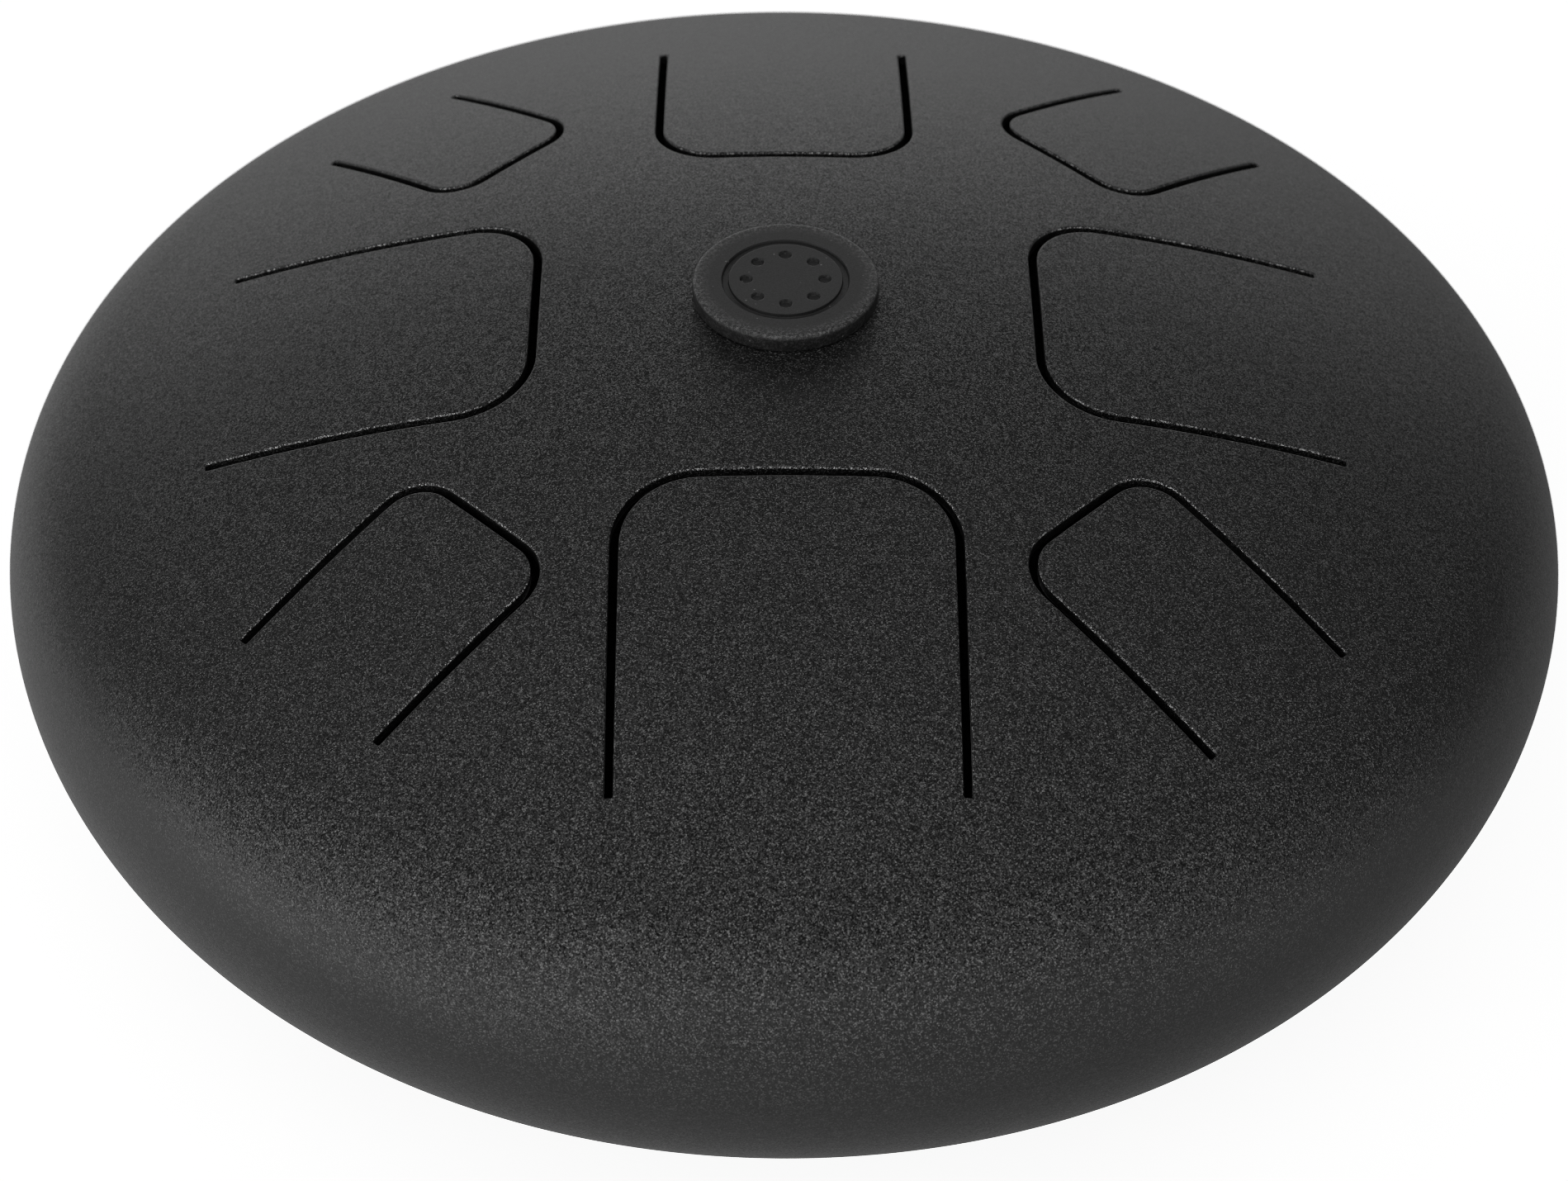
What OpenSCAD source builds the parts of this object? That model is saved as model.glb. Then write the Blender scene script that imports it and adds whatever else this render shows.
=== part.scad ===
// Steel tongue drum: two stamped steel bowls welded rim to rim. Eight tongues are cut in the top
// bowl, each by one U-shaped slot, and each swings about its uncut root.
// Origin: centre of the ground plane that the feet stand on. +Z is up. The longest tongue faces -Y.

/* [Drum body] */
// Diameter at the equator, where the two bowls meet
drum_d = 254; // [246:1:270]
// Thickness of the steel sheet
wall = 2; // [1.5:0.1:2.4]
// Radius of the top bowl's dome
top_crown_r = 280; // [262:1:320]
// Radius of the shoulder that turns the top dome down to the equator
top_shoulder_r = 25.4; // [22:0.1:30]
// Radius of the bottom bowl's dome
bottom_crown_r = 254; // [240:1:300]
// Radius of the shoulder that turns the bottom dome up to the equator
bottom_shoulder_r = 31.8; // [26:0.1:36]
// Height of the bottom bowl's lowest point above the ground
ground_gap = 4; // [3:0.5:8]
// Diameter of the sound hole in the middle of the bottom bowl
sound_hole_d = 46; // [36:1:48]

/* [Seam] */
// Width of the weld bead on the outside, where it is ground flush
weld_w = 3; // [2:0.1:4]
// Share of the sheet's thickness that the bead goes through
weld_share = 0.7; // [0.5:0.05:0.9]

/* [Tongues] */
// Width of the slot cut around each tongue
slot_w = 1.3; // [1:0.1:1.6]
// Clearance that parts each tongue from the dome along its root line
root_gap = 0.06; // [0.05:0.01:0.1]

/* [Front tongue] */
// Distance from the drum's axis to the tip slot, on the slot's centre line
front_tip = 39.6; // [36:0.1:42]
// Distance from the drum's axis to the root line
front_root = 93.6; // [88:0.1:98]
// Distance between the centre lines of the side slots
front_w = 51.6; // [46:0.1:54]
// Radius of the slot's two corners, on the slot's centre line
front_corner_r = 12.4; // [6:0.1:16]

/* [Back tongue] */
// Distance from the drum's axis to the tip slot, on the slot's centre line
back_tip = 40.9; // [37:0.1:44]
// Distance from the drum's axis to the root line
back_root = 85.4; // [80:0.1:90]
// Distance between the centre lines of the side slots
back_w = 42; // [38:0.1:46]
// Radius of the slot's two corners, on the slot's centre line
back_corner_r = 10; // [6:0.1:14]

/* [Left tongue] */
// Distance from the drum's axis to the tip slot, on the slot's centre line
left_tip = 39.7; // [37:0.1:44]
// Distance from the drum's axis to the root line
left_root = 90.3; // [84:0.1:94]
// Distance between the centre lines of the side slots
left_w = 47; // [42:0.1:50]
// Radius of the slot's two corners, on the slot's centre line
left_corner_r = 11.7; // [6:0.1:15]

/* [Right tongue] */
// Distance from the drum's axis to the tip slot, on the slot's centre line
right_tip = 39.8; // [37:0.1:44]
// Distance from the drum's axis to the root line
right_root = 87.2; // [82:0.1:92]
// Distance between the centre lines of the side slots
right_w = 47.4; // [42:0.1:50]
// Radius of the slot's two corners, on the slot's centre line
right_corner_r = 11.4; // [6:0.1:15]

/* [Front left tongue] */
// Distance from the drum's axis to the tip slot, on the slot's centre line
front_left_tip = 64.1; // [61:0.1:68]
// Distance from the drum's axis to the root line
front_left_root = 99.7; // [94:0.1:104]
// Distance between the centre lines of the side slots
front_left_w = 30.2; // [26:0.1:33]
// Radius of the slot's two corners, on the slot's centre line
front_left_corner_r = 6.7; // [4:0.1:10]

/* [Front right tongue] */
// Distance from the drum's axis to the tip slot, on the slot's centre line
front_right_tip = 62.7; // [61:0.1:68]
// Distance from the drum's axis to the root line
front_right_root = 102.5; // [94:0.1:104]
// Distance between the centre lines of the side slots
front_right_w = 30.2; // [26:0.1:33]
// Radius of the slot's two corners, on the slot's centre line
front_right_corner_r = 7.2; // [4:0.1:10]

/* [Back left tongue] */
// Distance from the drum's axis to the tip slot, on the slot's centre line
back_left_tip = 63.8; // [61:0.1:68]
// Distance from the drum's axis to the root line
back_left_root = 95.3; // [90:0.1:100]
// Distance between the centre lines of the side slots
back_left_w = 27.6; // [25:0.1:31]
// Radius of the slot's two corners, on the slot's centre line
back_left_corner_r = 6.4; // [4:0.1:9]

/* [Back right tongue] */
// Distance from the drum's axis to the tip slot, on the slot's centre line
back_right_tip = 65.1; // [62:0.1:68]
// Distance from the drum's axis to the root line
back_right_root = 99.7; // [92:0.1:102]
// Distance between the centre lines of the side slots
back_right_w = 31.2; // [26:0.1:33]
// Radius of the slot's two corners, on the slot's centre line
back_right_corner_r = 6.9; // [4:0.1:10]

/* [Centre plug] */
// Diameter of the plug's disc
plug_d = 29.4; // [26:0.1:34]
// Height of the disc above the top of the dome
plug_rise = 2.8; // [2:0.1:4]
// Radius of the disc's rounded top edge
plug_edge_r = 1.2; // [0.6:0.1:1.6]
// Diameter of the stem that fills the hole in the dome
plug_stem_d = 14; // [10:0.1:18]
// Length of the stem below the sheet
plug_stem_reach = 5; // [3:0.5:8]
// Wall thickness of the hollow stem
plug_stem_wall = 2.2; // [1.6:0.1:3]
// Depth of the pressed ring and dots in the disc's top
mark_depth = 0.5; // [0.3:0.1:0.8]
// Outer radius of the pressed ring
mark_ring_r = 10; // [9:0.1:11]
// Width of the pressed ring
mark_ring_w = 1; // [0.6:0.1:1.4]
// Distance of the pressed dots from the plug's axis
mark_dot_pitch_r = 6.2; // [5:0.1:7]
// Diameter of each pressed dot
mark_dot_d = 1.9; // [1.2:0.1:2.2]

/* [Feet] */
// Distance from the drum's axis to each foot
foot_pitch_r = 62; // [54:1:76]
// Diameter of a foot where it meets the bowl
foot_top_d = 20; // [18:0.5:22]
// Diameter of a foot at the ground, before its edge is rounded
foot_base_d = 17; // [15:0.5:18]
// Height above the ground at which a foot reaches its full diameter
foot_taper_h = 8; // [5:0.5:9]
// Radius of the rounded edge at the ground
foot_edge_r = 1.5; // [0.8:0.1:2]
// Diameter of the stem pushed through the bowl
foot_stem_d = 6; // [5:0.1:8]
// Diameter of the head that holds the stem inside the bowl
foot_head_d = 9.6; // [9:0.1:13]
// Height of the head above the inside of the bowl, at the foot's axis
foot_head_h = 3.4; // [3:0.1:5]

/* [Hidden] */
$fn = 240;
drum_r = drum_d / 2;
weld_depth = wall * weld_share;
// Clearance of a rubber stem in its hole
stem_gap = 0.05;
// Overshoot that takes a cutter clear past the surface it cuts
past = 1;
// Reach of a flat cutter that has to pass the whole drum
far = 2 * drum_d;
mark_dots = 8;
coat = [0.17, 0.17, 0.175];
rubber = [0.11, 0.11, 0.115];

// Height of a dome's sphere centre above the equator. It is negative: the centre lies below.
function crown_centre(crown_r, shoulder_r) =
    -sqrt(pow(crown_r - shoulder_r, 2) - pow(drum_r - shoulder_r, 2));
// Height of a bowl, from the equator to the top of its dome
function bowl_h(crown_r, shoulder_r) = crown_r + crown_centre(crown_r, shoulder_r);

bottom_h = bowl_h(bottom_crown_r, bottom_shoulder_r);
equator_z = ground_gap + bottom_h;
apex_z = equator_z + bowl_h(top_crown_r, top_shoulder_r);
top_centre_z = equator_z + crown_centre(top_crown_r, top_shoulder_r);
bottom_centre_z = equator_z - crown_centre(bottom_crown_r, bottom_shoulder_r);

// Each tongue is [tip, root, width between slots, corner radius, direction in degrees from +X]
front_tongue = [front_tip, front_root, front_w, front_corner_r, -90];
back_tongue = [back_tip, back_root, back_w, back_corner_r, 90];
left_tongue = [left_tip, left_root, left_w, left_corner_r, 180];
right_tongue = [right_tip, right_root, right_w, right_corner_r, 0];
front_left_tongue = [front_left_tip, front_left_root, front_left_w, front_left_corner_r, -135];
front_right_tongue = [front_right_tip, front_right_root, front_right_w, front_right_corner_r, -45];
back_left_tongue = [back_left_tip, back_left_root, back_left_w, back_left_corner_r, 135];
back_right_tongue = [back_right_tip, back_right_root, back_right_w, back_right_corner_r, 45];
tongues = [
    front_tongue, back_tongue, left_tongue, right_tongue,
    front_left_tongue, front_right_tongue, back_left_tongue, back_right_tongue
];

// Half section of a bowl that opens downwards at height 0, shrunk by inset on all curved sides.
// The dome and the shoulder are drawn about one leaning line, the line through both their
// centres, and meet on it, so they are tangent.
module bowl_section(crown_r, shoulder_r, inset) {
    centre = crown_centre(crown_r, shoulder_r);
    lean = atan2(drum_r - shoulder_r, -centre);
    intersection() {
        square(far);
        translate([0, centre]) rotate(-lean) {
            intersection() {
                circle(crown_r - inset);
                translate([-far, -far]) square([far, 2 * far]);
            }
            intersection() {
                translate([0, crown_r - shoulder_r]) circle(shoulder_r - inset);
                square(far);
            }
        }
    }
}

// Half section of the sheet of one bowl, from the axis out to the equator
module sheet_section(crown_r, shoulder_r) {
    difference() {
        bowl_section(crown_r, shoulder_r, 0);
        bowl_section(crown_r, shoulder_r, wall);
    }
}

module top_section() {
    sheet_section(top_crown_r, top_shoulder_r);
}

module bottom_section() {
    mirror([0, 1]) sheet_section(bottom_crown_r, bottom_shoulder_r);
}

// V-shaped groove at the equator, open to the outside and reaching reach beyond it
module weld_section(reach) {
    spread = weld_w / 2 * (weld_depth + reach) / weld_depth;
    polygon([[drum_r - weld_depth, 0], [drum_r + reach, -spread], [drum_r + reach, spread]]);
}

// Turns a half section about the drum's axis, with the section's zero height at the equator
module turned() {
    translate([0, 0, equator_z]) rotate_extrude() children();
}

// Outline of a tongue that points away from its root, towards the axis, grown by grow on the
// three slotted sides. root is the distance from the axis to its root edge.
module tongue_outline(t, grow, root) {
    half_w = t[2] / 2 + grow;
    corner_r = t[3] + grow;
    tip = t[0] - grow;
    translate([tip + corner_r, -half_w]) square([root - tip - corner_r, 2 * half_w]);
    translate([tip, corner_r - half_w]) square([root - tip, 2 * (half_w - corner_r)]);
    for (side = [-1, 1])
        translate([tip + corner_r, side * (half_w - corner_r)]) circle(corner_r);
}

// Upright prism on a tongue's outline, turned to the tongue's direction
module tongue_prism(t, grow, root) {
    rotate([0, 0, t[4]])
        translate([0, 0, equator_z]) linear_extrude(apex_z) tongue_outline(t, grow, root);
}

module tongue(t) {
    color(coat) intersection() {
        turned() top_section();
        tongue_prism(t, -slot_w / 2, t[1] - root_gap);
    }
}

module top_shell() {
    color(coat) difference() {
        turned() difference() {
            top_section();
            weld_section(past);
        }
        for (t = tongues) tongue_prism(t, slot_w / 2, t[1]);
        translate([0, 0, equator_z]) cylinder(h = apex_z, d = plug_stem_d + 2 * stem_gap);
    }
}

module bottom_shell() {
    color(coat) difference() {
        turned() difference() {
            bottom_section();
            weld_section(past);
        }
        cylinder(h = equator_z, d = sound_hole_d);
        at_foot(-90) foot_hole();
        at_foot(30) foot_hole();
        at_foot(150) foot_hole();
    }
}

module foot_hole() {
    cylinder(h = equator_z, d = foot_stem_d + 2 * stem_gap);
}

// Weld bead that fills the groove, ground to a plain band on the outside
module seam_weld() {
    color(coat) turned() weld_section(0);
}

// Half section of a disc of radius r and height h with its upper edge rounded
module rounded_disc_section(r, h, edge_r) {
    square([r - edge_r, h]);
    square([r, h - edge_r]);
    translate([r - edge_r, h - edge_r]) circle(edge_r);
}

// Rubber plug: a disc that lies on the dome, a hollow stem through it, and a pressed mark on top
module centre_plug() {
    stem_r = plug_stem_d / 2;
    stem_end_z = apex_z - wall - plug_stem_reach;
    plug_top_z = apex_z + plug_rise;
    color(rubber) difference() {
        rotate_extrude() difference() {
            union() {
                difference() {
                    translate([0, apex_z - plug_rise])
                        rounded_disc_section(plug_d / 2, 2 * plug_rise, plug_edge_r);
                    translate([0, top_centre_z]) circle(top_crown_r);
                }
                translate([0, stem_end_z]) square([stem_r, apex_z - stem_end_z]);
            }
            translate([0, stem_end_z - past])
                square([stem_r - plug_stem_wall, apex_z - wall - stem_end_z + past]);
            translate([mark_ring_r - mark_ring_w, plug_top_z - mark_depth])
                square([mark_ring_w, mark_depth + past]);
        }
        for (i = [0 : mark_dots - 1])
            rotate([0, 0, i * 360 / mark_dots])
                translate([mark_dot_pitch_r, 0, plug_top_z - mark_depth])
                    cylinder(h = mark_depth + past, d = mark_dot_d);
    }
}

// Puts a child at one foot's place, direction degrees from +X
module at_foot(direction) {
    rotate([0, 0, direction]) translate([foot_pitch_r, 0, 0]) children();
}

// Height above the ground of the bottom dome's surface of radius dome_r, at a distance r from
// the drum's axis
function bowl_z(dome_r, r) = bottom_centre_z - sqrt(pow(dome_r, 2) - pow(r, 2));

// Foot's pad, tapered towards a rounded lower edge and tall enough to pass into the bowl
module foot_pad(h) {
    base_r = foot_base_d / 2;
    top_r = foot_top_d / 2;
    rotate_extrude() intersection() {
        polygon([[0, 0], [base_r, 0], [top_r, foot_taper_h], [top_r, h], [0, h]]);
        union() {
            square([base_r - foot_edge_r, h]);
            translate([0, foot_edge_r]) square([foot_top_d, h]);
            translate([base_r - foot_edge_r, foot_edge_r]) circle(foot_edge_r);
        }
    }
}

// Solid that fills the bottom bowl up to the equator, shrunk by inset on all curved sides
module bottom_filling(inset) {
    turned() mirror([0, 1]) bowl_section(bottom_crown_r, bottom_shoulder_r, inset);
}

// Rubber foot: a pad whose top follows the bowl, a stem through the sheet and a head inside it
module foot(direction) {
    pad_h = bowl_z(bottom_crown_r, foot_pitch_r + foot_top_d / 2) + past;
    head_top_z = bowl_z(bottom_crown_r - wall, foot_pitch_r) + foot_head_h;
    color(rubber) union() {
        difference() {
            at_foot(direction) foot_pad(pad_h);
            bottom_filling(0);
        }
        at_foot(direction) translate([0, 0, foot_edge_r])
            cylinder(h = head_top_z - foot_edge_r, d = foot_stem_d);
        intersection() {
            at_foot(direction) cylinder(h = head_top_z, d = foot_head_d);
            bottom_filling(wall);
        }
    }
}

top_shell();
tongue(front_tongue);  // tongue_front
tongue(back_tongue);  // tongue_back
tongue(left_tongue);  // tongue_left
tongue(right_tongue);  // tongue_right
tongue(front_left_tongue);  // tongue_front_left
tongue(front_right_tongue);  // tongue_front_right
tongue(back_left_tongue);  // tongue_back_left
tongue(back_right_tongue);  // tongue_back_right
centre_plug();
bottom_shell();
seam_weld();
foot(-90);  // foot_front
foot(150);  // foot_back_left
foot(30);  // foot_back_right
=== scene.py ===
import math

import bmesh
import bpy
import numpy as np
from mathutils import Euler, Matrix, Vector
from mathutils.geometry import delaunay_2d_cdt


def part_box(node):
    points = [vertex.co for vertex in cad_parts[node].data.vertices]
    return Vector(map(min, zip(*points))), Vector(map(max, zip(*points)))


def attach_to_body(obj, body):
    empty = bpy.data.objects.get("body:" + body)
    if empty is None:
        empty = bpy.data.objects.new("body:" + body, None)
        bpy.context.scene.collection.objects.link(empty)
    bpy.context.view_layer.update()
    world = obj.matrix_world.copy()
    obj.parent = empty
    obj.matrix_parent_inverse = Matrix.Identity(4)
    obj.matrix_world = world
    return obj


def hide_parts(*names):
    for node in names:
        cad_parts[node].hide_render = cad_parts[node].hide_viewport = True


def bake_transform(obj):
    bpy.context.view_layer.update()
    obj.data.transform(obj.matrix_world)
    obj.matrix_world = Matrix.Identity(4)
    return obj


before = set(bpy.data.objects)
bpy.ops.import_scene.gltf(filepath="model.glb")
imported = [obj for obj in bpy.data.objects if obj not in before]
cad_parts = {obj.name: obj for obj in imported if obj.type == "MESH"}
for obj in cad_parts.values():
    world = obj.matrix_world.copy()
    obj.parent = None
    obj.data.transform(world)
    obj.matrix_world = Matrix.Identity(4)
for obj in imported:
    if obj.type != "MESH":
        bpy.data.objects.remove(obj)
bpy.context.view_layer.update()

# Looks of the steel tongue drum. All lengths are in metres, in the CAD model's frame.
MM = 0.001

# ---------------------------------------------------------------- sizes
SEAM_LOW, SEAM_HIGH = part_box("seam_weld")
DRUM_R = SEAM_HIGH.x
EQUATOR_Z = (SEAM_LOW.z + SEAM_HIGH.z) / 2
WALL = 2 * MM
TOP_CROWN_R = 280 * MM
TOP_SHOULDER_R = 25.4 * MM
BOTTOM_CROWN_R = 254 * MM
BOTTOM_SHOULDER_R = 31.8 * MM
GROOVE_HALF = (SEAM_HIGH.z - SEAM_LOW.z) / 2
GROOVE_DEPTH = 1.4 * MM
SLOT_HALF = 0.65 * MM
SLOT_END_R = 0.25 * MM
SOUND_HOLE_R = 23 * MM
PLUG_HOLE_R = 7.05 * MM
FOOT_HOLE_R = 3.05 * MM
# The coat rounds every cut edge by EDGE_R. One more loop, EDGE_SUPPORT further in, keeps shading flat.
EDGE_R = 0.36 * MM
EDGE_SUPPORT = 0.14 * MM
# Inside this radius a bowl is a plate seen from above. Outside it, the shoulder is turned.
PLATE_R = 108 * MM

# Each tongue: distance of the tip slot and of the root from the axis, width between the side
# slots, corner radius (millimetres, on the slot's centre line), and azimuth in degrees from +X.
TONGUES = {
    "tongue_front": (39.6, 93.6, 51.6, 12.4, -90),
    "tongue_back": (40.9, 85.4, 42.0, 10.0, 90),
    "tongue_left": (39.7, 90.3, 47.0, 11.7, 180),
    "tongue_right": (39.8, 87.2, 47.4, 11.4, 0),
    "tongue_front_left": (64.1, 99.7, 30.2, 6.7, -135),
    "tongue_front_right": (62.7, 102.5, 30.2, 7.2, -45),
    "tongue_back_left": (63.8, 95.3, 27.6, 6.4, 135),
    "tongue_back_right": (65.1, 99.7, 31.2, 6.9, 45),
}
FEET = ("foot_front", "foot_back_left", "foot_back_right")

# ---------------------------------------------------------------- mesh density
# Edges that turn by more degrees than this are shaded sharp.
SHARP_ANGLE = 50
# Points round the drum, along the crown and over the shoulder of a bowl's profile.
RING_STEPS = 480
CROWN_POINTS = 4
SHOULDER_POINTS = 26
INNER_SHOULDER_POINTS = 20
# Degrees of shoulder kept in one last narrow band at the seam, so that its shading runs on.
SEAM_MARGIN = 0.2
# Points across the weld bead, as shares of half its height.
SEAM_SHARES = (-1, -0.94, -0.5, 0, 0.5, 0.94, 1)
# Spacing of points on the domes, along the slots' sides, over their ends and across the roots.
PLATE_SPACING = 2.4 * MM
SLOT_SPACING = 1.2 * MM
SLOT_END_SPACING = 0.3 * MM
ROOT_SPACING = 1.6 * MM
# Inner points of a dome stay this far from its edges.
EDGE_CLEARANCE = PLATE_SPACING * 0.5
# Points over a tongue's corner, the dome's corner round it, and a small round at a slot's end.
TONGUE_CORNER_POINTS = 14
DOME_CORNER_POINTS = 16
SLOT_END_POINTS = 4
# Steps over the rounding of a cut edge.
EDGE_STEPS = 4
PLUG_HOLE_POINTS = 60
FOOT_HOLE_POINTS = 40
SOUND_HOLE_POINTS = 160
# Points round the plug, and rings over its pressed face.
PLUG_STEPS = 320
PLUG_FACE_RINGS = 130
# Two lengths closer than this are taken as the same. The triangulation is stricter.
TOUCHING = 1e-8
TRIANGLE_TOUCHING = 1e-9
# delaunay_2d_cdt's output type that leaves out the triangles outside the outline's edges.
WITHIN_EDGES = 1
# Points compared with the edges at one time, which bounds the memory used.
POINTS_AT_ONCE = 500


# ---------------------------------------------------------------- mesh helpers
class Builder:
    """Collects vertices and faces, then makes one object with outward normals and smooth shading."""

    def __init__(self):
        self.points = []
        self.faces = []

    def add(self, points):
        first = len(self.points)
        self.points.extend(tuple(map(float, p)) for p in points)
        return list(range(first, len(self.points)))

    def bridge(self, a, b, closed=False):
        """Quads between two rows of vertex numbers of the same length."""
        count = len(a) if closed else len(a) - 1
        for i in range(count):
            j = (i + 1) % len(a)
            self.faces.append((a[i], a[j], b[j], b[i]))

    def make(self, name):
        mesh = bpy.data.meshes.new(name)
        mesh.from_pydata(self.points, [], self.faces)
        mesh.validate()
        ob = bpy.data.objects.new(name, mesh)
        bpy.context.scene.collection.objects.link(ob)
        outward(ob)
        return ob


def outward(ob):
    """Turns every face of a closed mesh to the outside and shades it smooth."""
    bm = bmesh.new()
    bm.from_mesh(ob.data)
    bmesh.ops.recalc_face_normals(bm, faces=bm.faces)
    bm.to_mesh(ob.data)
    bm.free()
    ob.data.polygons.foreach_set("use_smooth", [True] * len(ob.data.polygons))
    ob.data.set_sharp_from_angle(angle=math.radians(SHARP_ANGLE))


def lathe(name, profile, steps=RING_STEPS, shift=None):
    """A closed profile of (radius, height) points turned about the z axis. Radius 0 becomes a pole."""
    build = Builder()
    turn = [2 * math.pi * i / steps for i in range(steps)]
    rows = []
    for r, z in profile:
        if r < TOUCHING:
            rows.append(build.add([(0, 0, z)]))
        else:
            rows.append(build.add([(r * math.cos(a), r * math.sin(a), z) for a in turn]))
    for k, row in enumerate(rows):
        following = rows[(k + 1) % len(rows)]
        if len(row) == 1 and len(following) == 1:
            continue
        if len(row) == 1 or len(following) == 1:
            pole, ring = (row[0], following) if len(row) == 1 else (following[0], row)
            for i in range(steps):
                build.faces.append((pole, ring[i], ring[(i + 1) % steps]))
        else:
            build.bridge(row, following, closed=True)
    if shift:
        build.points = [shift(*p) for p in build.points]
    return build.make(name)


def arc(centre, radius, start, end, count):
    """(x, y) points on an arc between two angles in degrees, both ends included."""
    return [
        (centre[0] + radius * math.cos(math.radians(a)), centre[1] + radius * math.sin(math.radians(a)))
        for a in np.linspace(start, end, count)
    ]


def direction(azimuth, elevation):
    """A unit vector, from degrees round from +X and degrees up."""
    az, el = math.radians(azimuth), math.radians(elevation)
    return (math.cos(az) * math.cos(el), math.sin(az) * math.cos(el), math.sin(el))


class Bowl:
    """One stamped bowl: a dome and a shoulder tangent to it. side is 1 for the top one, else -1."""

    def __init__(self, crown_r, shoulder_r, side):
        self.crown_r, self.shoulder_r, self.side = crown_r, shoulder_r, side
        self.shoulder_x = DRUM_R - shoulder_r
        self.centre = -math.sqrt((crown_r - shoulder_r) ** 2 - self.shoulder_x**2)
        self.meet = math.degrees(math.atan2(-self.centre, self.shoulder_x))

    def z(self, r, inset=0.0):
        """Height of the dome at radius r, of its surface shrunk by inset."""
        rise = np.sqrt((self.crown_r - inset) ** 2 - np.square(r))
        return EQUATOR_Z + self.side * (self.centre + rise)

    def rim(self):
        """Profile from the plate's outer edge over the shoulder, round the rim and back inside."""
        lowest = math.degrees(math.asin(GROOVE_HALF / self.shoulder_r))
        start = math.degrees(math.acos(PLATE_R / self.crown_r))
        inner_start = math.degrees(math.acos(PLATE_R / (self.crown_r - WALL)))
        crown, shoulder = (0, self.centre), (self.shoulder_x, 0)
        outer = arc(crown, self.crown_r, start, self.meet, CROWN_POINTS)
        outer += arc(shoulder, self.shoulder_r, self.meet, lowest + SEAM_MARGIN, SHOULDER_POINTS)[1:]
        outer += arc(shoulder, self.shoulder_r, lowest, lowest, 1)
        inner = arc(shoulder, self.shoulder_r - WALL, 0, self.meet, INNER_SHOULDER_POINTS)
        inner += arc(crown, self.crown_r - WALL, self.meet, inner_start, CROWN_POINTS)[1:]
        groove = [(DRUM_R - GROOVE_DEPTH, 0)]
        return [(r, EQUATOR_Z + self.side * z) for r, z in outer[1:] + groove + inner[:-1]]


TOP = Bowl(TOP_CROWN_R, TOP_SHOULDER_R, 1)
BOTTOM = Bowl(BOTTOM_CROWN_R, BOTTOM_SHOULDER_R, -1)


# ---------------------------------------------------------------- cut edges
class Edge:
    """A cut edge seen from above: points along it and, at each, the direction into the metal."""

    def __init__(self, points, inward):
        self.points = np.array(points, float)
        self.inward = np.array(inward, float)

    def offset(self, distance):
        return self.points + distance * self.inward

    def turned(self, degrees):
        a = math.radians(degrees)
        m = np.array([[math.cos(a), math.sin(a)], [-math.sin(a), math.cos(a)]])
        return Edge(self.points @ m, self.inward @ m)


def line(a, b, inward, spacing=SLOT_SPACING):
    """A straight run of edge from a to b, as (point, inward) pairs."""
    count = max(2, int(math.dist(a, b) / spacing) + 1)
    points = np.linspace(a, b, count)
    return [(tuple(p), inward) for p in points]


def corner(centre, radius, start, end, count, outward_metal):
    """An arc of edge. outward_metal is 1 when the metal lies outside the arc, -1 when inside."""
    found = []
    for a in np.radians(np.linspace(start, end, count)):
        way = (math.cos(a), math.sin(a))
        found.append((
            (centre[0] + radius * way[0], centre[1] + radius * way[1]),
            (outward_metal * way[0], outward_metal * way[1]),
        ))
    return found


def joined(runs):
    """One Edge from runs of (point, inward) pairs, without the points that repeat where runs meet."""
    pairs = []
    for run in runs:
        for p, n in run:
            if pairs and math.dist(p, pairs[-1][0]) < TOUCHING:
                continue
            pairs.append((p, n))
    return Edge([p for p, n in pairs], [n for p, n in pairs])


def mirrored(pairs):
    """A run of edge mirrored to the tongue's other side, in the order that carries on round it."""
    return [((u, -v), (nu, -nv)) for (u, v), (nu, nv) in reversed(pairs)]


def tongue_edges(tip, root, width, corner_r):
    """(edge of the tongue, edge of the dome around it), both for a tongue whose root lies along +x."""
    half = width / 2 - SLOT_HALF
    inner_tip, inner_r = tip + SLOT_HALF, corner_r - SLOT_HALF
    outer_tip, outer_r = tip - SLOT_HALF, corner_r + SLOT_HALF
    outer_half = half + 2 * SLOT_HALF
    side = line((root, half), (inner_tip + inner_r, half), (0, -1))
    bend = corner((inner_tip + inner_r, half - inner_r), inner_r, 90, 180, TONGUE_CORNER_POINTS, -1)
    across = line((inner_tip, half - inner_r), (inner_tip, inner_r - half), (1, 0))
    tongue = joined([side, bend, across, mirrored(bend), mirrored(side)])
    end_x, end_low, end_high = root + SLOT_END_R, half + SLOT_END_R, outer_half - SLOT_END_R
    end = (
        corner((root, end_low), SLOT_END_R, -90, 0, SLOT_END_POINTS, 1)
        + line((end_x, end_low), (end_x, end_high), (1, 0), SLOT_END_SPACING)
        + corner((root, end_high), SLOT_END_R, 0, 90, SLOT_END_POINTS, 1)
    )
    outer_side = line((root, outer_half), (outer_tip + outer_r, outer_half), (0, 1))
    outer_centre = (outer_tip + outer_r, outer_half - outer_r)
    outer_bend = corner(outer_centre, outer_r, 90, 180, DOME_CORNER_POINTS, 1)
    outer_across = line((outer_tip, outer_half - outer_r), (outer_tip, outer_r - outer_half), (-1, 0))
    dome = joined([
        end, outer_side, outer_bend, outer_across,
        mirrored(outer_bend), mirrored(outer_side), mirrored(end),
    ])
    return tongue, dome


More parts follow.
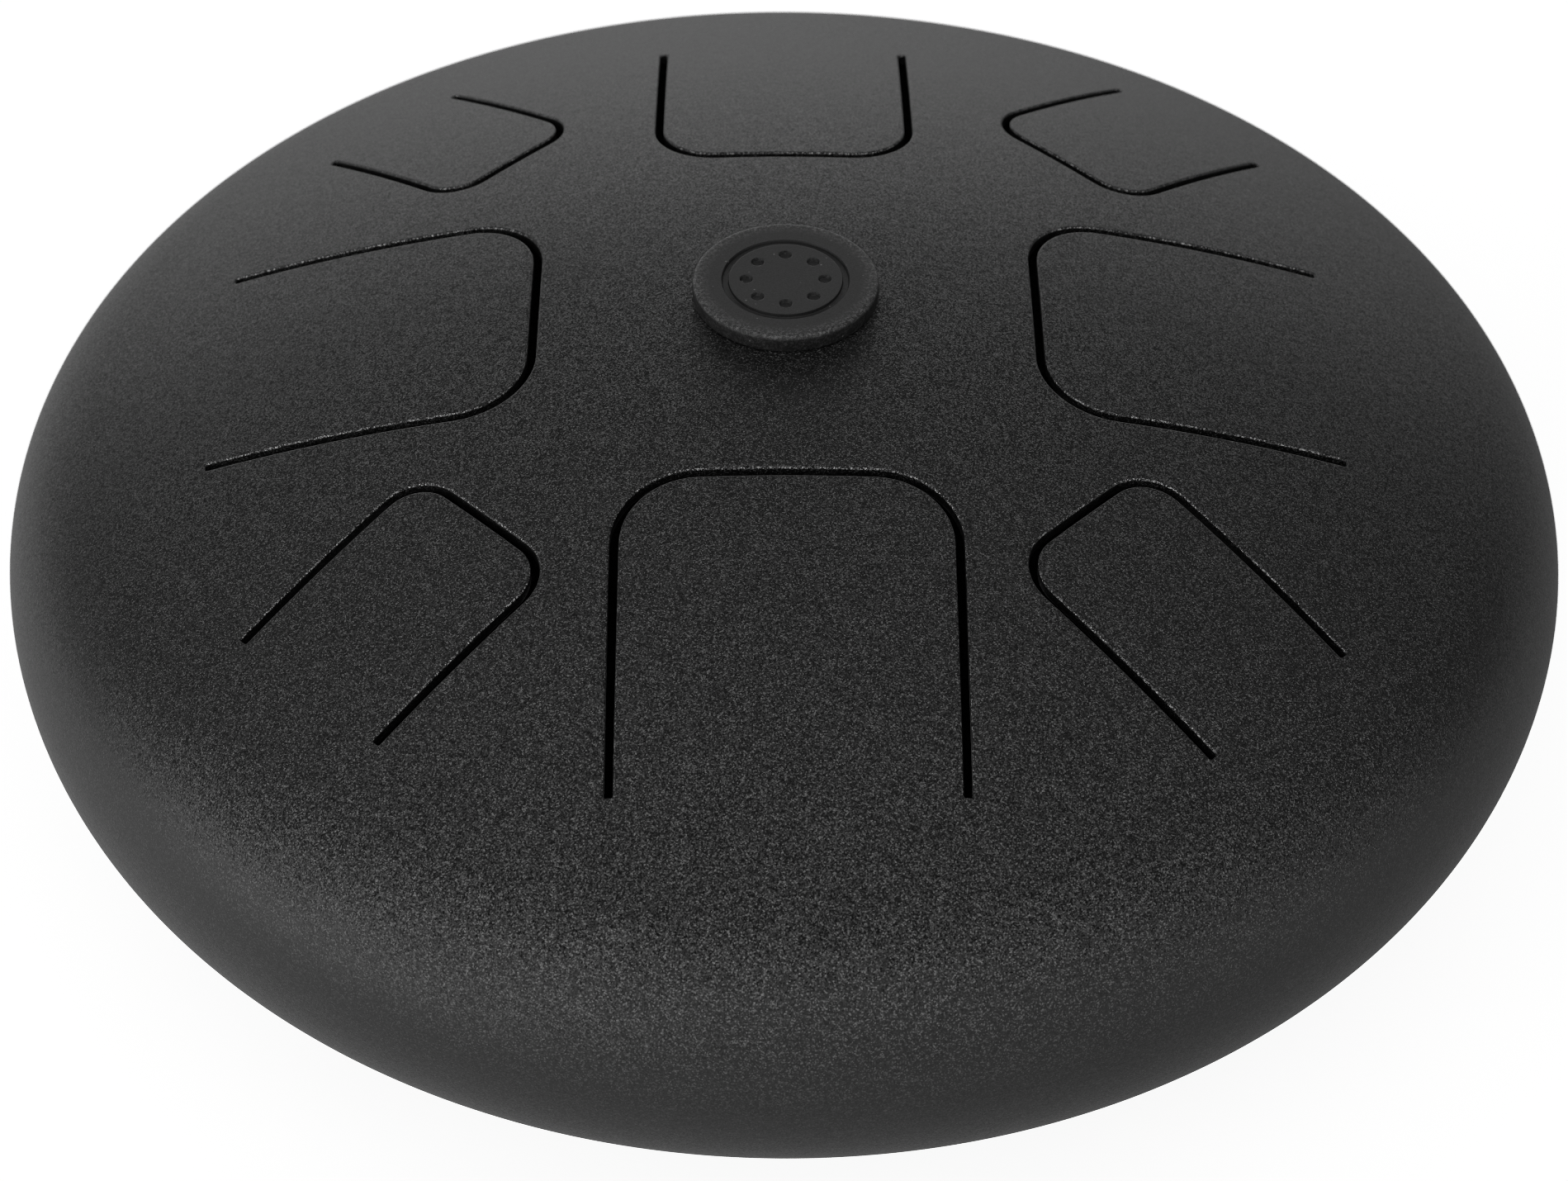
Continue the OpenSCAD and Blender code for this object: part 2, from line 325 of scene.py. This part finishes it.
def hole_edge(centre, radius, count):
    """The edge of a round hole of count points."""
    a = np.linspace(0, 2 * math.pi, count, endpoint=False)
    way = np.stack([np.cos(a), np.sin(a)], 1)
    return Edge(np.array(centre) + radius * way, way)


# ---------------------------------------------------------------- plates
def inside(points, polygon):
    """Which points lie inside a polygon, by counting crossings."""
    x, y = points[:, 0][:, None], points[:, 1][:, None]
    ax, ay = polygon[:, 0], polygon[:, 1]
    bx, by = np.roll(ax, -1), np.roll(ay, -1)
    crosses = (ay > y) != (by > y)
    at = ax + (y - ay) * (bx - ax) / np.where(by == ay, 1, by - ay)
    return (crosses & (x < at)).sum(1) % 2 == 1


def honeycomb(reach, spacing):
    """Points of a triangular grid that covers a square of half-width reach."""
    rows = int(reach / (spacing * math.sqrt(3) / 2)) + 1
    columns = int(reach / spacing) + 1
    return np.array([
        ((i + (j % 2) / 2) * spacing, j * spacing * math.sqrt(3) / 2)
        for j in range(-rows, rows + 1)
        for i in range(-columns, columns + 1)
    ])


def triangulated(outline, holes):
    """Points and triangles of a flat region. The points of the outline and the holes come first."""
    rings = [outline] + holes
    border = np.concatenate(rings)
    fill = honeycomb(np.abs(outline).max(), PLATE_SPACING)
    fill = fill[inside(fill, outline)]
    for hole in holes:
        fill = fill[~inside(fill, hole)]
    gap = np.concatenate([
        np.sqrt(np.square(part[:, None] - border[None]).sum(2)).min(1)
        for part in np.array_split(fill, max(1, len(fill) // POINTS_AT_ONCE))
    ])
    fill = fill[gap > EDGE_CLEARANCE]
    points = np.concatenate([border, fill])
    edges, first = [], 0
    for ring in rings:
        edges += [(first + i, first + (i + 1) % len(ring)) for i in range(len(ring))]
        first += len(ring)
    corners = [Vector(p) for p in points]
    _, _, faces, origin, _, _ = delaunay_2d_cdt(corners, edges, [], WITHIN_EDGES, TRIANGLE_TOUCHING)
    faces = np.array([[origin[i][0] for i in f] for f in faces])
    middle = points[faces].mean(1)
    keep = np.ones(len(faces), bool)
    for hole in holes:
        keep &= ~inside(middle, hole)
    return points, faces[keep]


def edge_rows():
    """(distance into the metal, depth below the surface) down one rounded edge."""
    rows = [(EDGE_R + EDGE_SUPPORT, 0.0)]
    for k in range(EDGE_STEPS + 1):
        a = math.pi / 2 * k / EDGE_STEPS
        rows.append((EDGE_R * (1 - math.sin(a)), EDGE_R * (1 - math.cos(a))))
    return rows


def plate_z(bowl, flat, depth, inset):
    """(x, y, z) of flat points on the bowl's outer or inner surface, moved depth into the sheet."""
    r = np.hypot(flat[:, 0], flat[:, 1])
    into = -bowl.side if inset == 0 else bowl.side
    return np.column_stack([flat, bowl.z(r, inset) + into * depth])


def cut_wall(build, bowl, edge, top_row, bottom_row, closed):
    """Skin of one cut edge, from the outer surface's row of points round to the inner surface's row.
    Returns the rows."""
    steps = edge_rows()[1:]
    rows = [top_row]
    rows += [build.add(plate_z(bowl, edge.offset(d), depth, 0)) for d, depth in steps]
    rows += [build.add(plate_z(bowl, edge.offset(d), depth, WALL)) for d, depth in reversed(steps)]
    rows.append(bottom_row)
    for a, b in zip(rows, rows[1:]):
        build.bridge(a, b, closed)
    return rows


def root_face(build, rows, top_line, bottom_line):
    """Closes the cut across a tongue's root: quads along it, and a many-sided face at each end.
    The lines hold the points between the two end points, which belong to the cut wall's rows."""
    top = [rows[0][-1]] + top_line + [rows[0][0]]
    bottom = [rows[-1][-1]] + bottom_line + [rows[-1][0]]
    build.bridge(top, bottom)
    build.faces.append(tuple(row[0] for row in rows))
    build.faces.append(tuple(row[-1] for row in reversed(rows)))


def root_points(edge):
    """Points across the root between the ends of an edge, from its last point back to its first."""
    ends = edge.offset(EDGE_R + EDGE_SUPPORT)
    count = max(3, int(math.dist(ends[0], ends[-1]) / ROOT_SPACING))
    return np.linspace(ends[-1], ends[0], count + 1)[1:-1]


def plate(build, bowl, outline, holes):
    """Both skins of a plate. Returns the vertex numbers of the outer and the inner skin's points."""
    points, faces = triangulated(outline, holes)
    outer = build.add(plate_z(bowl, points, 0.0, 0))
    inner = build.add(plate_z(bowl, points, 0.0, WALL))
    for f in faces:
        build.faces.append(tuple(outer[i] for i in f))
        build.faces.append(tuple(inner[i] for i in reversed(f)))
    return outer, inner


def placed_edges(tongue):
    """The edges of one tongue and of the dome round it, turned to its place on the drum."""
    tip, root, width, corner_r, azimuth = tongue
    return [edge.turned(azimuth) for edge in tongue_edges(tip * MM, root * MM, width * MM, corner_r * MM)]


def tongue_piece(name, tongue):
    """One tongue: a plate whose root is cut straight across."""
    edge = placed_edges(tongue)[0]
    across = root_points(edge)
    build = Builder()
    border = edge.offset(EDGE_R + EDGE_SUPPORT)
    outer, inner = plate(build, TOP, np.concatenate([border, across]), [])
    n, total = len(border), len(border) + len(across)
    rows = cut_wall(build, TOP, edge, outer[:n], inner[:n], closed=False)
    root_face(build, rows, outer[n:total], inner[n:total])
    return build.make(name)


def bowl_piece(name, bowl, tongues, round_holes):
    """One bowl: a plate with its openings, and the shoulder turned round it down to the weld."""
    turn = np.linspace(0, 2 * math.pi, RING_STEPS, endpoint=False)
    outline = PLATE_R * np.stack([np.cos(turn), np.sin(turn)], 1)
    openings = []
    for tongue in tongues:
        edge = placed_edges(tongue)[1]
        openings.append((edge, root_points(edge)))
    for centre, radius, count in round_holes:
        openings.append((hole_edge(centre, radius, count), np.zeros((0, 2))))
    reach = EDGE_R + EDGE_SUPPORT
    holes = [np.concatenate([edge.offset(reach), across]) for edge, across in openings]
    build = Builder()
    outer, inner = plate(build, bowl, outline, holes)
    first = RING_STEPS
    for edge, across in openings:
        n, total = len(edge.points), len(edge.points) + len(across)
        closed = len(across) == 0
        top, bottom = outer[first:first + total], inner[first:first + total]
        rows = cut_wall(build, bowl, edge, top[:n], bottom[:n], closed)
        if not closed:
            root_face(build, rows, top[n:], bottom[n:])
        first += total
    ring = outer[:RING_STEPS]
    for r, z in bowl.rim():
        following = build.add([(r * math.cos(a), r * math.sin(a), z) for a in turn])
        build.bridge(ring, following, closed=True)
        ring = following
    build.bridge(ring, inner[:RING_STEPS], closed=True)
    return build.make(name)


# ---------------------------------------------------------------- the drum's pieces
def foot_places():
    """Where the three feet stand, seen from above."""
    places = []
    for node in FEET:
        low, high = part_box(node)
        places.append(((low.x + high.x) / 2, (low.y + high.y) / 2))
    return places


def seam_piece():
    """Weld bead ground flat at the equator, flush with both bowls."""
    profile = [(DRUM_R - GROOVE_DEPTH, EQUATOR_Z)]
    for share in SEAM_SHARES:
        bowl = TOP if share > 0 else BOTTOM
        z = GROOVE_HALF * share
        r = bowl.shoulder_x + math.sqrt(bowl.shoulder_r**2 - z * z)
        profile.append((r, EQUATOR_Z + z))
    return lathe("seam_bead", profile)


PLUG_LOW, PLUG_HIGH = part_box("centre_plug")
PLUG_R = PLUG_HIGH.x
PLUG_EDGE_R = 0.8 * MM
PLUG_LIP_R = 0.8 * MM
PLUG_STEM_R = 7 * MM
PLUG_STEM_WALL = 2.2 * MM
PLUG_STEM_EDGE_R = 0.25 * MM
# The pressed mark: a ring between two radii and a circle of dots, with sides MARK_SLOPE wide.
MARK_DEPTH = 0.5 * MM
MARK_RING = (9 * MM, 10 * MM)
MARK_DOTS = 8
MARK_DOT_PITCH_R = 6.2 * MM
MARK_DOT_R = 0.95 * MM
MARK_SLOPE = 0.16 * MM


def smooth_step(x):
    """0 below 0, 1 above 1 and a smooth rise between."""
    x = np.clip(x, 0, 1)
    return x * x * (3 - 2 * x)


def mark_drop(x, y):
    """How far the plug's top is pressed in at a point: a plain ring and eight plain dots."""
    r = math.hypot(x, y)
    ring_low, ring_high = MARK_RING
    ring = smooth_step((r - ring_low) / MARK_SLOPE + 0.5) * smooth_step((ring_high - r) / MARK_SLOPE + 0.5)
    step = 2 * math.pi / MARK_DOTS
    a = (math.atan2(y, x) + step / 2) % step - step / 2
    to_dot = math.hypot(r * math.cos(a) - MARK_DOT_PITCH_R, r * math.sin(a))
    dot = smooth_step((MARK_DOT_R - to_dot) / MARK_SLOPE + 0.5)
    return MARK_DEPTH * float(max(ring, dot))


def plug_piece():
    """Moulded rubber plug, pressed mark and all, as one turned form."""
    top = PLUG_HIGH.z
    face_r = PLUG_R - PLUG_EDGE_R
    under_z = float(TOP.z(PLUG_R))
    profile = [(r, top) for r in np.linspace(0, face_r, PLUG_FACE_RINGS)]
    profile += arc((face_r, top - PLUG_EDGE_R), PLUG_EDGE_R, 90, 0, 8)[1:]
    profile += arc((PLUG_R - PLUG_LIP_R, under_z + PLUG_LIP_R), PLUG_LIP_R, 0, -80, 6)
    profile += [(r, float(TOP.z(r))) for r in np.linspace(PLUG_R - 2 * PLUG_LIP_R, PLUG_STEM_R, 8)]
    edge = PLUG_STEM_EDGE_R
    profile += arc((PLUG_STEM_R - edge, PLUG_LOW.z + edge), edge, 0, -90, 4)
    bore_r = PLUG_STEM_R - PLUG_STEM_WALL
    roof = float(TOP.z(0)) - WALL
    profile += [(bore_r, PLUG_LOW.z), (bore_r, roof - edge), (bore_r - edge, roof), (0, roof)]

    def shift(x, y, z):
        if abs(z - top) < TOUCHING and math.hypot(x, y) < face_r:
            return x, y, z - mark_drop(x, y)
        return x, y, z

    return lathe("plug_moulding", profile, PLUG_STEPS, shift)


# ---------------------------------------------------------------- material helpers
def new_material(name):
    """An empty node material, and its nodes."""
    mat = bpy.data.materials.new(name)
    mat.use_nodes = True
    mat.node_tree.nodes.clear()
    return mat, Nodes(mat.node_tree)


class Nodes:
    """Short ways to add and link shader nodes."""

    def __init__(self, tree):
        self.tree = tree

    def add(self, kind, inputs=None, **settings):
        node = self.tree.nodes.new(kind)
        for key, value in settings.items():
            setattr(node, key, value)
        for key, value in (inputs or {}).items():
            self.put(value, node.inputs[key])
        return node

    def put(self, value, socket):
        if isinstance(value, bpy.types.NodeSocket):
            self.tree.links.new(value, socket)
        else:
            socket.default_value = value

    def maths(self, operation, a, b=0.0, c=0.0):
        return self.add("ShaderNodeMath", {0: a, 1: b, 2: c}, operation=operation).outputs[0]

    def vectors(self, operation, a, b=(0, 0, 0)):
        """One vector operation. A length and a dot product come out as a number."""
        node = self.add("ShaderNodeVectorMath", {0: a, 1: b}, operation=operation)
        return node.outputs["Value" if operation in ("LENGTH", "DOT_PRODUCT") else "Vector"]

    def mapped(self, value, low, high, new_low, new_high):
        """The value moved from one range to another, and kept inside it."""
        node = self.add("ShaderNodeMapRange", {0: value, 1: low, 2: high, 3: new_low, 4: new_high})
        return node.outputs[0]

    def place(self):
        """Where a point lies in the drum's frame."""
        return self.add("ShaderNodeTexCoord").outputs["Object"]

    def height(self):
        return self.add("ShaderNodeSeparateXYZ", {0: self.place()}).outputs["Z"]

    def upright(self):
        """1 where the surface faces straight up, 0 where it stands on edge."""
        normal = self.add("ShaderNodeNewGeometry").outputs["Normal"]
        return self.add("ShaderNodeSeparateXYZ", {0: normal}).outputs["Z"]

    def radius(self):
        """Distance from the drum's axis."""
        return self.vectors("LENGTH", self.vectors("MULTIPLY", self.place(), (1, 1, 0)))

    def noise(self, size, detail, roughness=0.5, offset=0.0):
        """Noise with blobs about size metres across. An offset keeps two patterns from matching."""
        where = self.vectors("ADD", self.place(), (offset,) * 3)
        inputs = {"Vector": where, "Scale": 1 / size, "Detail": detail, "Roughness": roughness}
        return self.add("ShaderNodeTexNoise", inputs).outputs["Fac"]

    def cells(self, size):
        """Cells about size metres across, each with its own colour."""
        return self.add("ShaderNodeTexVoronoi", {"Vector": self.place(), "Scale": 1 / size})

    def grey(self, value):
        return self.add("ShaderNodeCombineColor", {0: value, 1: value, 2: value}).outputs[0]


# ---------------------------------------------------------------- powder coat
# Sizes across of the sand's facets, of the tone specks and painted glints, of the soft peel and of the
# mottling.
GRAIN = 0.21 * MM
GLINT = 0.19 * MM
PEEL = 2.2 * MM
PEEL_DEPTH = 0.06 * MM
MOTTLE = 38 * MM
# Width of the random lean that is added to each facet's own direction.
FACET_TILT = 1.1
# Darkest and palest mottling, and the share by which single specks differ from it.
COAT_TONES = (0.004, 0.005)
SPECK_SPREAD = 0.65
# Tone of the brightest painted glints, added to the coat's colour. A higher rarity leaves fewer of them
# bright.
PAINTED_GLINT_TONE = 0.21
PAINTED_GLINT_RARITY = 2.4
# Inside EDGE_ZONE_R on the top bowl, painted highlight specks brighten the coat on the slots' edges,
# and painted shade darkens the walls of the slots, down to this share of the coat's tone.
EDGE_ZONE_R = 104 * MM
EDGE_PAINTED_HIGHLIGHT = 0.6
WALL_SHADE = 0.6


def slot_zones(n, facing, upright):
    """Two shares: how far a point lies on a slot's wall, which gets painted shade, and how far on the
    rounding above it, which gets painted highlight specks.
    """
    inside_slots = n.maths(
        "MULTIPLY",
        n.mapped(n.radius(), EDGE_ZONE_R, EDGE_ZONE_R - MM, 0.0, 1.0),
        n.mapped(n.height(), EQUATOR_Z, EQUATOR_Z + MM, 0.0, 1.0),
    )
    # The wall share darkens the walls with painted shade.
    wall = n.maths("MULTIPLY", inside_slots, n.mapped(upright, 0.40, 0.15, 0.0, 1.0))
    above_wall = n.maths("SUBTRACT", inside_slots, wall)
    # The rounding share, faded where seen edge-on, places painted highlight specks.
    rounding = n.maths("MULTIPLY", above_wall, n.mapped(upright, 0.92, 0.80, 0.0, 1.0))
    return wall, n.maths("MULTIPLY", rounding, n.mapped(facing, 0.45, 0.1, 0.1, 1.0))


def sand_normal(n, sand_and_glint):
    """Surface direction of the coat: facets that each lean their own way, on a soft peel."""
    lean = n.vectors("SUBTRACT", n.cells(GRAIN).outputs["Color"], (0.5, 0.5, 0.5))
    amount = n.maths("MULTIPLY", sand_and_glint, FACET_TILT)
    lean = n.add("ShaderNodeVectorMath", {0: lean, "Scale": amount}, operation="SCALE").outputs[0]
    peel = n.noise(PEEL, 1.0, offset=1.3)
    bump = n.add("ShaderNodeBump", {"Height": peel, "Strength": 1.0, "Distance": PEEL_DEPTH})
    return n.vectors("NORMALIZE", n.vectors("ADD", lean, bump.outputs[0]))


def coat_tone(n, sand_and_glint, wall, edge_highlight):
    """Tone of the coat: dark mottling, specks, painted glints, and the painted highlight sparks and
    painted shade of the slots.
    """
    glint = n.add("ShaderNodeSeparateColor", {0: n.cells(GLINT).outputs["Color"]})
    # Painted glints: bright cells added to the coat's colour, scaled by the square-on share.
    painted_glint = n.maths("POWER", n.mapped(glint.outputs[0], 0.5, 1.0, 0.0, 1.0), PAINTED_GLINT_RARITY)
    speck = n.mapped(glint.outputs[1], 0.0, 1.0, 1 - SPECK_SPREAD, 1 + SPECK_SPREAD)
    # Painted highlight specks on the rounded edges of the slots.
    painted_spark = n.maths("MULTIPLY", n.mapped(glint.outputs[2], 0.7, 1.0, 0.0, 1.0), edge_highlight)
    tone = n.maths("MULTIPLY", n.mapped(n.noise(MOTTLE, 2.0), 0.3, 0.7, *COAT_TONES), speck)
    tone = n.maths("MULTIPLY_ADD", n.maths("MULTIPLY", painted_glint, sand_and_glint), PAINTED_GLINT_TONE, tone)
    tone = n.maths("MULTIPLY_ADD", painted_spark, EDGE_PAINTED_HIGHLIGHT, tone)
    # Painted shade on the walls of the slots.
    return n.maths("MULTIPLY", tone, n.mapped(wall, 0.0, 1.0, 1.0, WALL_SHADE))


def coated_steel():
    """Charcoal powder coat, sandy and fine, which shows most where it is seen square on and from above;
    its glints are painted into the base colour.
    """
    mat, n = new_material("powder_coat")
    facing = n.add("ShaderNodeLayerWeight", {"Blend": 0.5}).outputs["Facing"]
    upright = n.upright()
    square_on = n.mapped(facing, 0.42, 0.02, 0.25, 1.0)
    # This share also scales the painted glints in the coat's colour.
    sand_and_glint = n.maths("MULTIPLY", square_on, n.mapped(upright, 0.3, 0.8, 0.65, 1.0))
    wall, edge_highlight = slot_zones(n, facing, upright)
    shader = n.add("ShaderNodeBsdfPrincipled", {
        "Base Color": n.grey(coat_tone(n, sand_and_glint, wall, edge_highlight)),
        "Roughness": n.mapped(sand_and_glint, 0.0, 1.0, 0.50, 0.38),
        "Normal": sand_normal(n, sand_and_glint),
        "Specular IOR Level": n.mapped(wall, 0.0, 1.0, 0.5, 0.25),
    })
    n.add("ShaderNodeOutputMaterial", {"Surface": shader.outputs[0]})
    return mat


# ---------------------------------------------------------------- rubber
# Tone of clean rubber, how much paler dust makes it, and the width of the plug's worn rim.
RUBBER_TONE = 0.030
PLUG_DUST = 0.19
FOOT_DUST = 0.02
PLUG_WORN_WIDTH = 2.8 * MM
# Sizes across of the cloudy patches, of the mould's texture, of the wear on a rim, and of the
# cells that hold at most one fleck of lint each.
RUBBER_CLOUD = 6 * MM
RUBBER_GRAIN = 0.25 * MM
RUBBER_GRAIN_DEPTH = 0.03 * MM
WEAR = 0.5 * MM
LINT_CELL = 0.9 * MM
# The rim turns from plain to worn over this width.
RIM_FADE = 2.4 * MM


def moulded_rubber(name, tone, dust, rim_r):
    """Matt moulded rubber: faint mould texture, soft sheen and a little dust. Its sides get painted shade
    that keeps them darker than its top, and from rim_r outwards it is worn pale in fine specks."""
    mat, n = new_material(name)
    cloud = n.noise(RUBBER_CLOUD, 3.0)
    fine = n.noise(RUBBER_GRAIN, 2.0)
    upright = n.upright()
    lint = n.cells(LINT_CELL)
    pick = n.add("ShaderNodeSeparateColor", {0: lint.outputs["Color"]})
    grit = n.maths(
        "MULTIPLY",
        n.mapped(pick.outputs[1], 0.9, 1.0, 0.0, 1.0),
        n.mapped(lint.outputs["Distance"], 0.05, 0.22, 1.0, 0.0),
    )
    out_there = n.mapped(n.radius(), rim_r, rim_r + RIM_FADE, 0.0, 1.0)
    rim = n.maths("MULTIPLY", out_there, n.mapped(upright, 0.25, 0.75, 0.2, 1.0))
    specks = n.mapped(n.noise(WEAR, 4.0, 0.8, 0.4), 0.46, 0.72, 0.0, 1.0)
    worn = n.maths("MULTIPLY", rim, specks)
    cloudy = n.mapped(cloud, 0.3, 0.7, tone * 0.85, tone * 1.2)
    # Painted shade: the sides are darkened, down to 0.3 of the top's tone.
    base = n.maths("MULTIPLY", cloudy, n.mapped(upright, 0.0, 0.9, 0.3, 1.0))
    base = n.maths("MULTIPLY", base, n.mapped(fine, 0.3, 0.7, 0.75, 1.25))
    base = n.maths("MULTIPLY_ADD", n.maths("ADD", grit, worn), dust, base)
    bump = n.add("ShaderNodeBump", {"Height": fine, "Strength": 0.4, "Distance": RUBBER_GRAIN_DEPTH})
    shader = n.add("ShaderNodeBsdfPrincipled", {
        "Base Color": n.grey(base),
        "Roughness": n.mapped(cloud, 0.3, 0.7, 0.50, 0.62),
        "Normal": bump.outputs[0],
        "Specular IOR Level": n.mapped(upright, 0.0, 0.9, 0.15, 0.4),
    })
    n.add("ShaderNodeOutputMaterial", {"Surface": shader.outputs[0]})
    return mat


def cover(ob, mat):
    """Gives an object one material, in every slot it has."""
    if not ob.material_slots:
        ob.data.materials.append(mat)
    for slot in ob.material_slots:
        slot.material = mat


# ---------------------------------------------------------------- assembly
def attach(piece, body, node, mat):
    """Makes a finished piece stand for a CAD node and ride on its body."""
    cover(piece, mat)
    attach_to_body(piece, body)
    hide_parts(node)


def attach_tongue(node, tongue, mat):
    """One tongue, meeting the shell at its root, in place of its CAD node."""
    piece = tongue_piece(node.replace("tongue", "note"), tongue)
    cover(piece, mat)
    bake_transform(piece)
    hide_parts(node)


COAT = coated_steel()
PLUG_RUBBER = moulded_rubber("plug_rubber", RUBBER_TONE, PLUG_DUST, PLUG_R - PLUG_WORN_WIDTH)
# The feet lie inside the radius given here, so none of their rims is worn.
FOOT_RUBBER = moulded_rubber("foot_rubber", RUBBER_TONE, FOOT_DUST, DRUM_R)

PLUG_HOLE = ((0, 0), PLUG_HOLE_R, PLUG_HOLE_POINTS)
SOUND_HOLE = ((0, 0), SOUND_HOLE_R, SOUND_HOLE_POINTS)
FOOT_HOLES = [(place, FOOT_HOLE_R, FOOT_HOLE_POINTS) for place in foot_places()]

top_bowl = bowl_piece("top_bowl", TOP, TONGUES.values(), [PLUG_HOLE])
attach(top_bowl, "shell", "top_shell", COAT)
bottom_bowl = bowl_piece("bottom_bowl", BOTTOM, [], [SOUND_HOLE] + FOOT_HOLES)
attach(bottom_bowl, "shell", "bottom_shell", COAT)
attach(seam_piece(), "shell", "seam_weld", COAT)
attach(plug_piece(), "plug", "centre_plug", PLUG_RUBBER)

for node, tongue in TONGUES.items():
    attach_tongue(node, tongue, COAT)

for node in FEET:
    cover(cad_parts[node], FOOT_RUBBER)


# ---------------------------------------------------------------- stage, light and camera
# Soft lights in the sky: azimuth from +X and elevation in degrees, sharpness and strength.
SKY_LIGHTS = (
    (210, 6, 14, 4.0),
    (-30, 6, 14, 1.2),
    (60, 6, 14, 0.6),
    (90, 6, 14, 1.5),
    (120, 6, 14, 1.0),
    (-90, 58, 9, 1.7),
)
# The bright floor's own light: azimuth from +X of the side it is brightest on, and strength.
FLOOR_LIGHTS = ((-90, 0.42), (0, 0.25), (180, 0.75))
# Half of the floor's width, its brightness to the camera, and how much light it throws back.
FLOOR_HALF = 8.0
FLOOR_WHITE = 0.88
FLOOR_PAPER = 0.3
# The floor gives less light near the drum: this share at its outline, and all from the reach on.
FLOOR_SHADE = 0.5
FLOOR_SHADE_REACH = 0.4


def total(n, values):
    """The sum of some shader values."""
    together = 0.0
    for value in values:
        together = n.maths("ADD", value, together)
    return together


def seen_or(n, seen, otherwise):
    """One value for what the camera sees directly, another for the light that reaches things."""
    ray = n.add("ShaderNodeLightPath").outputs["Is Camera Ray"]
    return n.add("ShaderNodeMix", {0: ray, 2: otherwise, 3: seen}, data_type="FLOAT").outputs[0]


def stage_floor():
    """White floor, lit from below as a light table is, with only a faint shadow."""
    mesh = bpy.data.meshes.new("floor")
    corners = [(x * FLOOR_HALF, y * FLOOR_HALF, 0) for x, y in ((-1, -1), (1, -1), (1, 1), (-1, 1))]
    mesh.from_pydata(corners, [], [(0, 1, 2, 3)])
    ob = bpy.data.objects.new("floor", mesh)
    bpy.context.scene.collection.objects.link(ob)
    mat, n = new_material("floor_paper")
    way = n.vectors("NORMALIZE", n.place())
    lobes = []
    for azimuth, strength in FLOOR_LIGHTS:
        along = n.vectors("DOT_PRODUCT", way, direction(azimuth, 0))
        lobe = n.maths("POWER", n.maths("MULTIPLY_ADD", along, 0.5, 0.5), 2.0)
        lobes.append(n.maths("MULTIPLY", lobe, strength))
    distance = n.vectors("LENGTH", n.place())
    shade = n.mapped(distance, DRUM_R, FLOOR_SHADE_REACH, FLOOR_SHADE, 1.0)
    glow = seen_or(n, FLOOR_WHITE, n.maths("MULTIPLY", total(n, lobes), shade))
    light = n.add("ShaderNodeEmission", {"Color": (1, 1, 1, 1), "Strength": glow})
    paper = n.add("ShaderNodeBsdfDiffuse", {"Color": (FLOOR_PAPER,) * 3 + (1,)})
    both = n.add("ShaderNodeAddShader", {0: paper.outputs[0], 1: light.outputs[0]})
    n.add("ShaderNodeOutputMaterial", {"Surface": both.outputs[0]})
    ob.data.materials.append(mat)


def studio_sky():
    """Soft lights round a dark room, blurred into each other. The camera sees plain white."""
    world = bpy.data.worlds.new("studio")
    bpy.context.scene.world = world
    world.use_nodes = True
    world.node_tree.nodes.clear()
    n = Nodes(world.node_tree)
    way = n.add("ShaderNodeTexCoord").outputs["Generated"]
    lobes = []
    for azimuth, elevation, sharpness, strength in SKY_LIGHTS:
        along = n.vectors("DOT_PRODUCT", way, direction(azimuth, elevation))
        fall = n.maths("MULTIPLY", n.maths("SUBTRACT", along, 1.0), sharpness)
        lobes.append(n.maths("MULTIPLY", n.maths("EXPONENT", fall), strength))
    light = seen_or(n, 1.0, total(n, lobes))
    back = n.add("ShaderNodeBackground", {"Color": (1, 1, 1, 1), "Strength": light})
    n.add("ShaderNodeOutputWorld", {"Surface": back.outputs[0]})


# The camera stands in front of the drum. It aims at the middle of the equator, then tilts and
# rolls a little (all angles in degrees).
CAMERA_DISTANCE = 5.0 * DRUM_R
CAMERA_ELEVATION = 41.564
CAMERA_AZIMUTH = -0.468
CAMERA_TILT = -1.153
CAMERA_ROLL = 0.292
LENS_MM = 87.74
SENSOR_MM = 36
APERTURE = 33
FOCUS = (0, -45 * MM, 100 * MM)
# Width of the pixel filter: a sharp lens keeps the coat's grain crisp.
SHARP_FILTER = 0.9


def camera():
    """The camera, focused a little in front of the plug."""
    data = bpy.data.cameras.new("camera")
    data.lens = LENS_MM
    data.sensor_width = SENSOR_MM
    focus = bpy.data.objects.new("focus", None)
    focus.location = FOCUS
    bpy.context.scene.collection.objects.link(focus)
    data.dof.use_dof = True
    data.dof.focus_object = focus
    data.dof.aperture_fstop = APERTURE
    ob = bpy.data.objects.new("camera", data)
    bpy.context.scene.collection.objects.link(ob)
    el, az = math.radians(CAMERA_ELEVATION), math.radians(CAMERA_AZIMUTH)
    aim = Vector((0, 0, EQUATOR_Z))
    way = Vector((math.sin(az) * math.cos(el), -math.cos(az) * math.cos(el), math.sin(el)))
    turn = Euler((math.pi / 2 - el, 0, az)).to_matrix()
    turn = turn @ Matrix.Rotation(math.radians(CAMERA_TILT), 3, "X")
    turn = turn @ Matrix.Rotation(math.radians(CAMERA_ROLL), 3, "Z")
    ob.matrix_world = Matrix.Translation(aim + way * CAMERA_DISTANCE) @ turn.to_4x4()
    bpy.context.scene.camera = ob


stage_floor()
studio_sky()
camera()
bpy.context.scene.view_settings.view_transform = "Standard"
bpy.context.scene.cycles.filter_width = SHARP_FILTER
bpy.context.scene.cycles.denoising_prefilter = "NONE"
